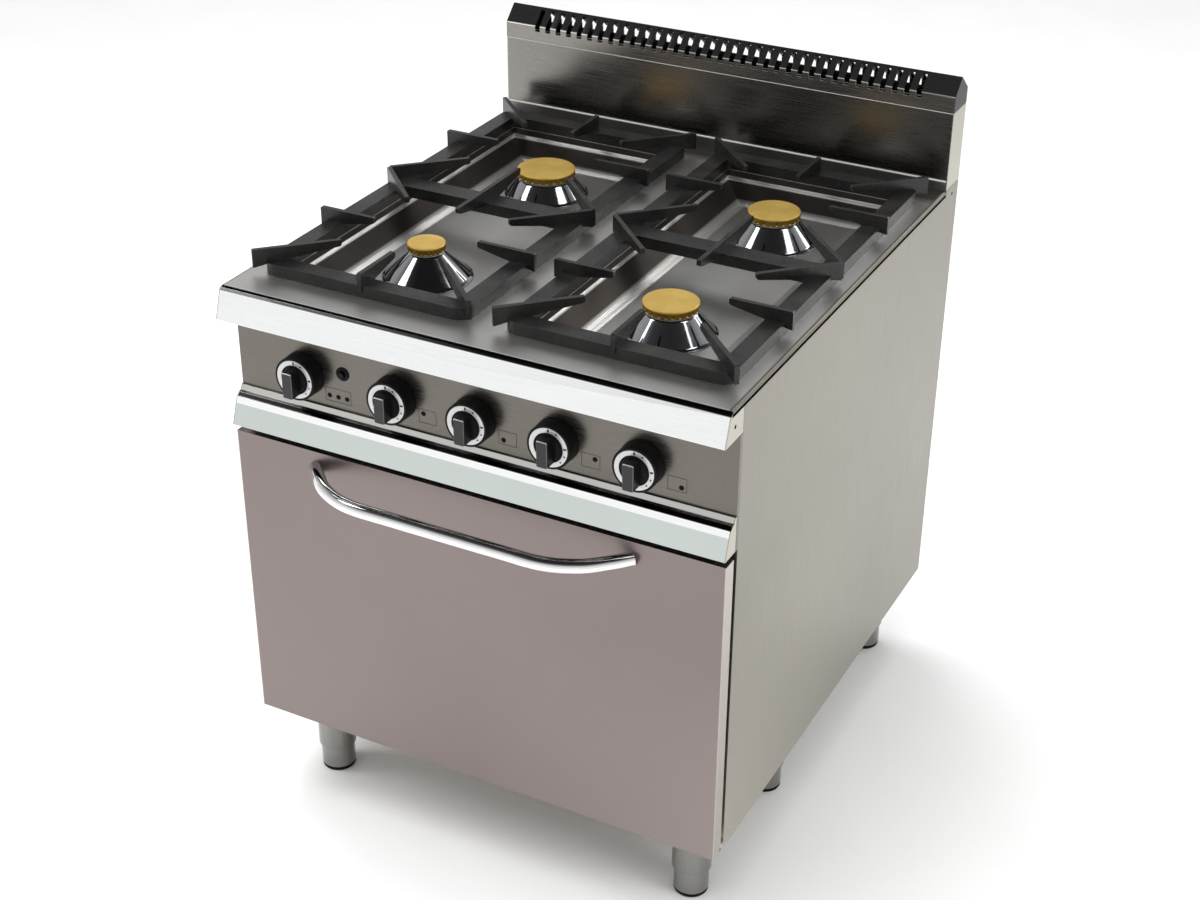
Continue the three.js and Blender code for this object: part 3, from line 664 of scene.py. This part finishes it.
for node, material, edge in (
    ("hob_top", HOB_STEEL, 0.4),
    ("front_rail", RAIL_STEEL, 1.6),
    ("lower_rail", LOWER_STEEL, 1.2),
    ("control_panel", PANEL_STEEL, 0.5),
    ("side_panel_left", SIDE_STEEL, 0.4),
    ("side_panel_right", SIDE_STEEL, 0.4),
    ("back_panel", SIDE_STEEL, 0.5),
    ("base_panel", SIDE_STEEL, 0.5),
    ("front_frame", FRAME_STEEL, 0.5),
    ("upstand", FLUE_STEEL, 0.9),
    ("flue_cap", CAP_STEEL, 0.5),
    ("oven_duct", FRAME_STEEL, 0.5),
    ("oven_riser", FRAME_STEEL, 0.5),
    ("oven_floor", ENAMEL, 0.5),
    ("oven_roof", ENAMEL, 0.5),
    ("oven_wall_left", ENAMEL, 0.5),
    ("oven_wall_right", ENAMEL, 0.5),
    ("oven_wall_back", ENAMEL, 0.5),
    ("rack_runner_left", CHROME, 0.4),
    ("rack_runner_right", CHROME, 0.4),
    ("oven_rack", CHROME, 0),
    ("oven_burner", LINER_STEEL, 0.5),
    ("door_outer", DOOR_STEEL, 0.9),
    ("door_insulation", WOOL, 0),
    ("door_inner", LINER_STEEL, 0.9),
    ("door_seal", SEAL_BLACK, 0.8),
    ("hinge_left", FRAME_STEEL, 0.3),
    ("hinge_right", FRAME_STEEL, 0.3),
    ("gas_rail", BRASS, 0.4),
    ("gas_inlet", BRASS, 0.4),
):
    dress(node, material, edge)
for node in ("grate_left", "grate_right"):
    dress(node, IRON, 1.2, worn=HIGHLIGHT_IRON)


# ---------- controls: millimetres, along the axis that points out of the panel ----------
def face_panel(piece, node):
    """Turns a piece made along +Z to point out of the control panel, at a CAD node's centre."""
    centre = middle(node)
    piece.location = (centre.x, PANEL_Y, centre.z)
    piece.rotation_euler.x = math.pi / 2


def paint_new(bm, before, slot):
    """Gives a material slot to the faces made since the given set of faces was taken."""
    for face in set(bm.faces) - before:
        face.material_index = slot


KNOB_FINISHES = [KNOB_BLACK, DIAL_SILVER, PRINT, KNOB_SIDE, KNOB_EDGE_HIGHLIGHT]
BLACK, SILVER, INK, SIDE, EDGE = range(len(KNOB_FINISHES))
# radii and heights of the knob's rings and grip
KNOB_R = 34
SKIRT_R = 33.4
RIM_R = 30.2
RING_OUTER = 29.9
RING_INNER = 22.6
HUB_R = 19.4
GROOVE_FLOOR = 25.0
RING_FACE = 25.6
HUB_FACE = 27.5
GRIP_WIDTH = 17.2
GRIP_LENGTH = 41
GRIP_CORNER = 2.2
GRIP_DROP = 2.2
GRIP_LEVELS = [(25.5, 0), (43.6, 0.2), (44.8, 1.2)]
DIAL_R = 26.2
DIAL_MARKS = ((90, 2.2), (62, 1.2), (8, 2.2), (-18, 1.0), (-44, 1.0))


def grip_slot(normal):
    """The grip has a black front and, as painted shade, duller and darker sides; its upper edge takes the
    dial's silver and its other edges a grey, both as painted highlights.
    """
    if normal.z > 0.9:
        return BLACK
    if normal.z < 0.2:
        return SIDE
    if normal.y > 0.4:
        return SILVER
    return EDGE


def dial_marks(body):
    """Dark marks on the dial ring, each at an angle in degrees and with half its length."""
    before = set(body.faces)
    for degrees, size in DIAL_MARKS:
        mark = plate(body, -size, size, -1.3, 1.3, RING_FACE - 0.05, RING_FACE + 0.15)
        turn = Matrix.Rotation(math.radians(degrees), 4, "Z") @ Matrix.Translation((DIAL_R * MM, 0, 0))
        bmesh.ops.transform(body, matrix=turn, verts=mark)
    paint_new(body, before, INK)


def knob(node):
    """A black skirt, a silver dial ring with dark marks, a raised hub and an upright grip."""
    body = bmesh.new()
    lathe(body, fillet([
        (5, 0.4), (KNOB_R, 0.4), (KNOB_R, 3.5), (33.6, 5), (SKIRT_R, 24.6), (32.8, RING_FACE),
        (RIM_R, 25.8), (RIM_R, GROOVE_FLOOR), (22.4, GROOVE_FLOOR), (22.2, 24.4), (HUB_R, 24.4),
        (18.6, HUB_FACE), (0, HUB_FACE),
    ], 0.8))
    # painted shade: the skirt takes the duller, darker black
    paint_new(body, set(), SIDE)

    faces, corners = set(body.faces), set(body.verts)
    bar(body, GRIP_WIDTH, GRIP_LENGTH, GRIP_CORNER, GRIP_LEVELS)
    for corner in set(body.verts) - corners:
        corner.co.y -= GRIP_DROP * MM
    body.normal_update()
    for face in set(body.faces) - faces:
        face.material_index = grip_slot(face.normal)

    faces = set(body.faces)
    lathe(body, fillet([
        (RING_INNER, 24.8), (RING_INNER, RING_FACE), (29.7, RING_FACE), (RING_OUTER, 24.8),
    ], 0.3))
    paint_new(body, faces, SILVER)
    dial_marks(body)
    piece = finish_mesh(node + "_finished", body, KNOB_FINISHES)
    face_panel(piece, node)
    fit(piece, node, "black_plastic", node)


for node in KNOBS:
    knob(node)


def igniter():
    """A flanged black bezel with a flat push button in it."""
    bezel = bmesh.new()
    lathe(bezel, fillet([
        (5.9, -10), (5.9, 2.6), (8.2, 2.9), (10.6, 1.6), (10.9, 0.4), (7.2, 0.3), (7.2, -10),
    ], 0.7), 64)
    ring = finish_mesh("igniter_bezel", bezel, [KNOB_SIDE])
    face_panel(ring, "igniter_button")
    fit(ring, "range_body", "bright_steel", "igniter_ring")

    cap = bmesh.new()
    lathe(cap, fillet([(0, -11.5), (5.4, -11.5), (5.4, 6.4), (4.4, 6.9), (0, 6.2)], 0.6), 64)
    button = finish_mesh("igniter_cap", cap, [KNOB_SIDE])
    face_panel(button, "igniter_button")
    fit(button, "igniter_button", "black_plastic", "igniter_button")


igniter()


# ---------- signs printed on the control panel, in millimetres ----------
KNOB_Z = middle("knob_1").z / MM
SIGN_HEIGHT = 22
OVEN_SIGN_WIDTH = 44
OVEN_SIGN_RIGHT = 57
OVEN_SIGN_DOWN = 24
BURNER_SIGN_WIDTH = 29
BURNER_SIGN_RIGHT = 52
BURNER_SIGN_DOWN = 19.5
OUTLINE = 0.9
DOT_R = 3.7


def sign(name, x, z, w, dots):
    """A thin outline with filled dots, each given by its place from the sign's centre."""
    ink = bmesh.new()
    face_y = PANEL_Y / MM
    near, far = face_y - 0.12, face_y + 0.1
    x0, x1 = x - w / 2, x + w / 2
    z0, z1 = z - SIGN_HEIGHT / 2, z + SIGN_HEIGHT / 2
    plate(ink, x0, x1, near, far, z0, z0 + OUTLINE)
    plate(ink, x0, x1, near, far, z1 - OUTLINE, z1)
    plate(ink, x0, x0 + OUTLINE, near, far, z0 + OUTLINE, z1 - OUTLINE)
    plate(ink, x1 - OUTLINE, x1, near, far, z0 + OUTLINE, z1 - OUTLINE)
    paint_new(ink, set(), 1)
    for across, up in dots:
        before = set(ink.verts)
        lathe(ink, [(0, 0.3), (DOT_R, 0.3), (DOT_R, 0), (0, 0)], 32)
        spot = [v for v in ink.verts if v not in before]
        place = Matrix.Translation(((x + across) * MM, near * MM, (z + up) * MM))
        turn = place @ Matrix.Rotation(math.pi / 2, 4, "X")
        bmesh.ops.transform(ink, matrix=turn, verts=spot)
    fit(finish_mesh(name, ink, [PRINT, PALE_PRINT]), "range_body", "black_plastic")


def oven_sign():
    x = middle("knob_1").x / MM + OVEN_SIGN_RIGHT
    sign("mark_oven", x, KNOB_Z - OVEN_SIGN_DOWN, OVEN_SIGN_WIDTH, [(-15, -2), (0, -2), (15, -2)])


def burner_sign(node, side, row):
    """A dot at one corner of a square. side is -1 for left burners, and row is -1 for front ones."""
    x = middle(node).x / MM + BURNER_SIGN_RIGHT
    dot = (side * (BURNER_SIGN_WIDTH / 2 - 8), row * (SIGN_HEIGHT / 2 - 7))
    sign("mark_" + node, x, KNOB_Z - BURNER_SIGN_DOWN, BURNER_SIGN_WIDTH, [dot])


oven_sign()
for node, side, row in (("knob_2", -1, 1), ("knob_3", -1, -1), ("knob_4", 1, 1), ("knob_5", 1, -1)):
    burner_sign(node, side, row)


# ---------- burners, in millimetres ----------
CONE_FOOT_R = 68
THROAT_R = 26.5
THROAT_DEPTH = 29
HEAD_SIDES = 120
PORT_EVERY = 5
PORT_DEPTH = 1.8


def burner_cone(place, cone_node, cap_node):
    """The polished body: a throat under the plate, a flat foot, and a cone up to the head's seat."""
    floor = low("hob_top").z / MM + 2.3
    seat = low(cap_node).z / MM - 0.3
    neck = width(cap_node) / 2 / MM - 5
    skirt = bmesh.new()
    lathe(skirt, fillet([
        (0, floor - THROAT_DEPTH), (THROAT_R, floor - THROAT_DEPTH), (THROAT_R, floor),
        (CONE_FOOT_R, floor), (CONE_FOOT_R, floor + 1.2), (64, floor + 3.2),
        (neck + 2.5, seat - 4), (neck, seat - 2.5), (neck, seat), (0, seat),
    ], 1.5), 128)
    cone = finish_mesh("cone_" + place, skirt, [CONE_STEEL], sharp=40)
    centre = middle(cap_node)
    cone.location = (centre.x, centre.y, 0)
    fit(cone, "range_body", "polished_steel", cone_node)


def burner_head(place, cap_node):
    """The brass head, with a ring of gas ports below its lip."""
    r = width(cap_node) / 2 / MM
    h = (high(cap_node) - low(cap_node)).z / MM
    head = bmesh.new()
    rings = lathe(head, fillet([
        (0, 0.2), (r - 3, 0.2), (r - 0.4, 1.2), (r - 0.2, 3), (r - 0.2, 6.4), (r, 7.4),
        (r, h - 2), (r - 1.2, h - 0.3), (r - 6, h), (0, h),
    ], 0.5), HEAD_SIDES)
    for ring in rings:
        height = ring[0].co.z / MM
        if len(ring) > 1 and 2.4 < height < 7:
            for i in range(0, HEAD_SIDES, PORT_EVERY):
                ring[i].co.xy *= (r - PORT_DEPTH) / r
    cap = finish_mesh("cap_" + place, head, [BRASS])
    centre = middle(cap_node)
    cap.location = (centre.x, centre.y, low(cap_node).z)
    fit(cap, cap_node, "brass", cap_node)


for place in BURNERS:
    burner_cone(place, "burner_cone_" + place, "burner_cap_" + place)
    burner_head(place, "burner_cap_" + place)


# ---------- door handle ----------
def catmull(points, steps):
    """A smooth curve through level points, with the ends doubled."""
    padded = [points[0] * 2 - points[1], *points, points[-1] * 2 - points[-2]]
    path = []
    for a, b, c, d in zip(padded, padded[1:], padded[2:], padded[3:]):
        for i in range(steps):
            t = i / steps
            path.append(0.5 * (
                2 * b + (c - a) * t
                + (2 * a - 5 * b + 4 * c - d) * t ** 2
                + (3 * b - a - 3 * c + d) * t ** 3))
    path.append(points[-1])
    return path


def handle():
    """A tube that leaves the door near its sides and bows out to a straight middle, in metres."""
    corner_a, corner_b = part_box("door_handle")
    radius = (corner_b.z - corner_a.z) / 2 - 0.0002
    z = (corner_a.z + corner_b.z) / 2
    bow = corner_a.y + radius + 0.0004
    back = DOOR_Y - 0.0003
    end = corner_b.x - radius - 0.0012
    depth = back - bow
    half = [
        (end, back), (end - 0.0205, back - 0.31 * depth), (end - 0.054, back - 0.71 * depth),
        (end - 0.104, bow + 0.0018), (end - 0.180, bow),
    ]
    right = [Vector((x, y, z)) for x, y in half]
    left = [Vector((-x, y, z)) for x, y in reversed(half)]
    bm = bmesh.new()
    tube(bm, catmull(right + left, 10), radius)
    fit(finish_mesh("handle_tube", bm, [CHROME]), "door", "polished_steel", "door_handle")


handle()


# ---------- legs, in millimetres ----------
SOLE_HEIGHT = 7


def sleeve(place, node, centre):
    """The fixed outer tube, open at its foot."""
    r = width(node) / 2 / MM
    foot, top = low(node).z / MM, high(node).z / MM
    bm = bmesh.new()
    lathe(bm, fillet([
        (r - 2.4, top - 12), (r - 2.4, foot + 0.6), (r - 1.6, foot), (r - 0.5, foot + 0.2),
        (r, foot + 1.4), (r, top), (0, top),
    ], 0.6), 96)
    piece = finish_mesh("sleeve_" + place, bm, [LEG_STEEL])
    piece.location = (centre.x, centre.y, 0)
    fit(piece, "range_body", "satin_steel", node)


def screw_foot(place, node, centre):
    """The foot that screws out of the sleeve, on a black sole."""
    r = width(node) / 2 / MM
    top = high(node).z / MM
    bm = bmesh.new()
    lathe(bm, fillet([
        (0, 0), (r - 2, 0), (r - 0.6, 1.2), (r - 0.5, SOLE_HEIGHT), (r - 0.2, SOLE_HEIGHT + 0.2),
        (r, SOLE_HEIGHT + 0.8), (r, top), (0, top),
    ], 0.8), 96, slot_of=lambda z: 1 if z < SOLE_HEIGHT else 0)
    piece = finish_mesh("screw_foot_" + place, bm, [FOOT_STEEL, SOLE_BLACK])
    piece.location = (centre.x, centre.y, 0)
    fit(piece, node, "bright_steel", node)


for place in LEGS:
    centre = middle("foot_" + place)
    sleeve(place, "leg_sleeve_" + place, centre)
    screw_foot(place, "foot_" + place, centre)


# ---------- floor, light and camera ----------
def floor():
    bpy.ops.mesh.primitive_plane_add(size=30, location=(0, 0, 0))
    ground = bpy.context.object
    ground.name = "floor"
    m = Nodes("pale_floor")
    m.set(Roughness=0.6)
    clouds = m.noise(4, detail=3)
    m.drive(Base_Color=m.mix(m.spread(clouds, 0, 1), (0.93, 0.93, 0.93), (0.95, 0.95, 0.95)))
    ground.data.materials.append(m.material)


def hang(name, light, place, mirrored=False):
    """Hangs up a light. Only the mirrored ones show in polished surfaces."""
    lamp = bpy.data.objects.new(name, light)
    lamp.location = place
    lamp.visible_glossy = mirrored
    scene.collection.objects.link(lamp)
    return lamp


def softbox(name, place, aim, size_x, size_y, watts, mirrored=False):
    light = bpy.data.lights.new(name, "AREA")
    light.shape = "RECTANGLE"
    light.size = size_x
    light.size_y = size_y
    light.energy = watts
    lamp = hang(name, light, place, mirrored)
    lamp.rotation_euler = (Vector(aim) - Vector(place)).to_track_quat("-Z", "Y").to_euler()


def soft_sun():
    sun = bpy.data.lights.new("sky_fill", "SUN")
    sun.energy = 2.0
    sun.angle = math.radians(60)
    lamp = hang("sky_fill", sun, (0, 0, 0))
    lamp.rotation_euler = (math.radians(12), math.radians(-10), 0)


# how bright the studio is, from the horizon and below (0) up to overhead (1)
SKY = ((0.0, 1.0), (0.16, 0.98), (0.30, 0.62), (0.52, 0.53), (0.70, 0.08), (0.90, 0.02))


def sky():
    world = bpy.data.worlds.new("studio")
    scene.world = world
    world.use_nodes = True
    tree = world.node_tree
    background = tree.nodes["Background"]
    background.inputs["Strength"].default_value = 1.0
    direction = tree.nodes.new("ShaderNodeTexCoord")
    split = tree.nodes.new("ShaderNodeSeparateXYZ")
    ramp = tree.nodes.new("ShaderNodeValToRGB")
    tree.links.new(direction.outputs["Generated"], split.inputs[0])
    tree.links.new(split.outputs["Z"], ramp.inputs[0])
    tree.links.new(ramp.outputs["Color"], background.inputs["Color"])
    stops = ramp.color_ramp.elements
    while len(stops) < len(SKY):
        stops.new(0.5)
    for stop, (height, grey) in zip(stops, SKY):
        stop.position = height
        stop.color = (grey, grey, grey, 1)


def lights():
    """Three large boxes and a soft sun light the range; three windows show as streaks in polished metal."""
    body = (0, 0, 0.7)
    hob = (0, 0, HOB_Z)
    softbox("top_box", (-1.2, 0.9, 3.4), body, 2.4, 1.6, 60)
    softbox("left_box", (-3.2, -1.6, 2.6), body, 1.0, 2.4, 40)
    softbox("right_box", (3.2, -0.6, 2.8), body, 1.0, 2.4, 40)
    softbox("left_window", (-2.2, -1.05, 3.2), hob, 0.7, 0.9, 9, mirrored=True)
    softbox("right_window", (1.9, 0.25, 3.2), hob, 0.9, 0.9, 9, mirrored=True)
    softbox("back_window", (1.7, 2.9, 2.4), hob, 1.6, 1.3, 18, mirrored=True)
    soft_sun()


def camera():
    """Stands front right and above, looking down at the whole range."""
    azimuth, elevation, roll = math.radians(27.411), math.radians(29.982), math.radians(0.371)
    forward = Vector((
        -math.sin(azimuth) * math.cos(elevation),
        math.cos(azimuth) * math.cos(elevation),
        -math.sin(elevation),
    ))
    level = forward.cross(Vector((0, 0, 1))).normalized()
    above = level.cross(forward)
    right = level * math.cos(roll) + above * math.sin(roll)
    up = above * math.cos(roll) - level * math.sin(roll)
    lens = bpy.data.cameras.new("camera")
    lens.sensor_width = 36
    lens.lens = 59.2
    lens.shift_x = 0.0007
    lens.shift_y = 0.0032
    cam = bpy.data.objects.new("camera", lens)
    turn = Matrix((right, up, -forward)).transposed().to_4x4()
    cam.matrix_world = Matrix.Translation((1.2572, -2.4213, 2.0992)) @ turn
    scene.collection.objects.link(cam)
    scene.camera = cam


floor()
sky()
lights()
camera()
scene.view_settings.view_transform = "Standard"
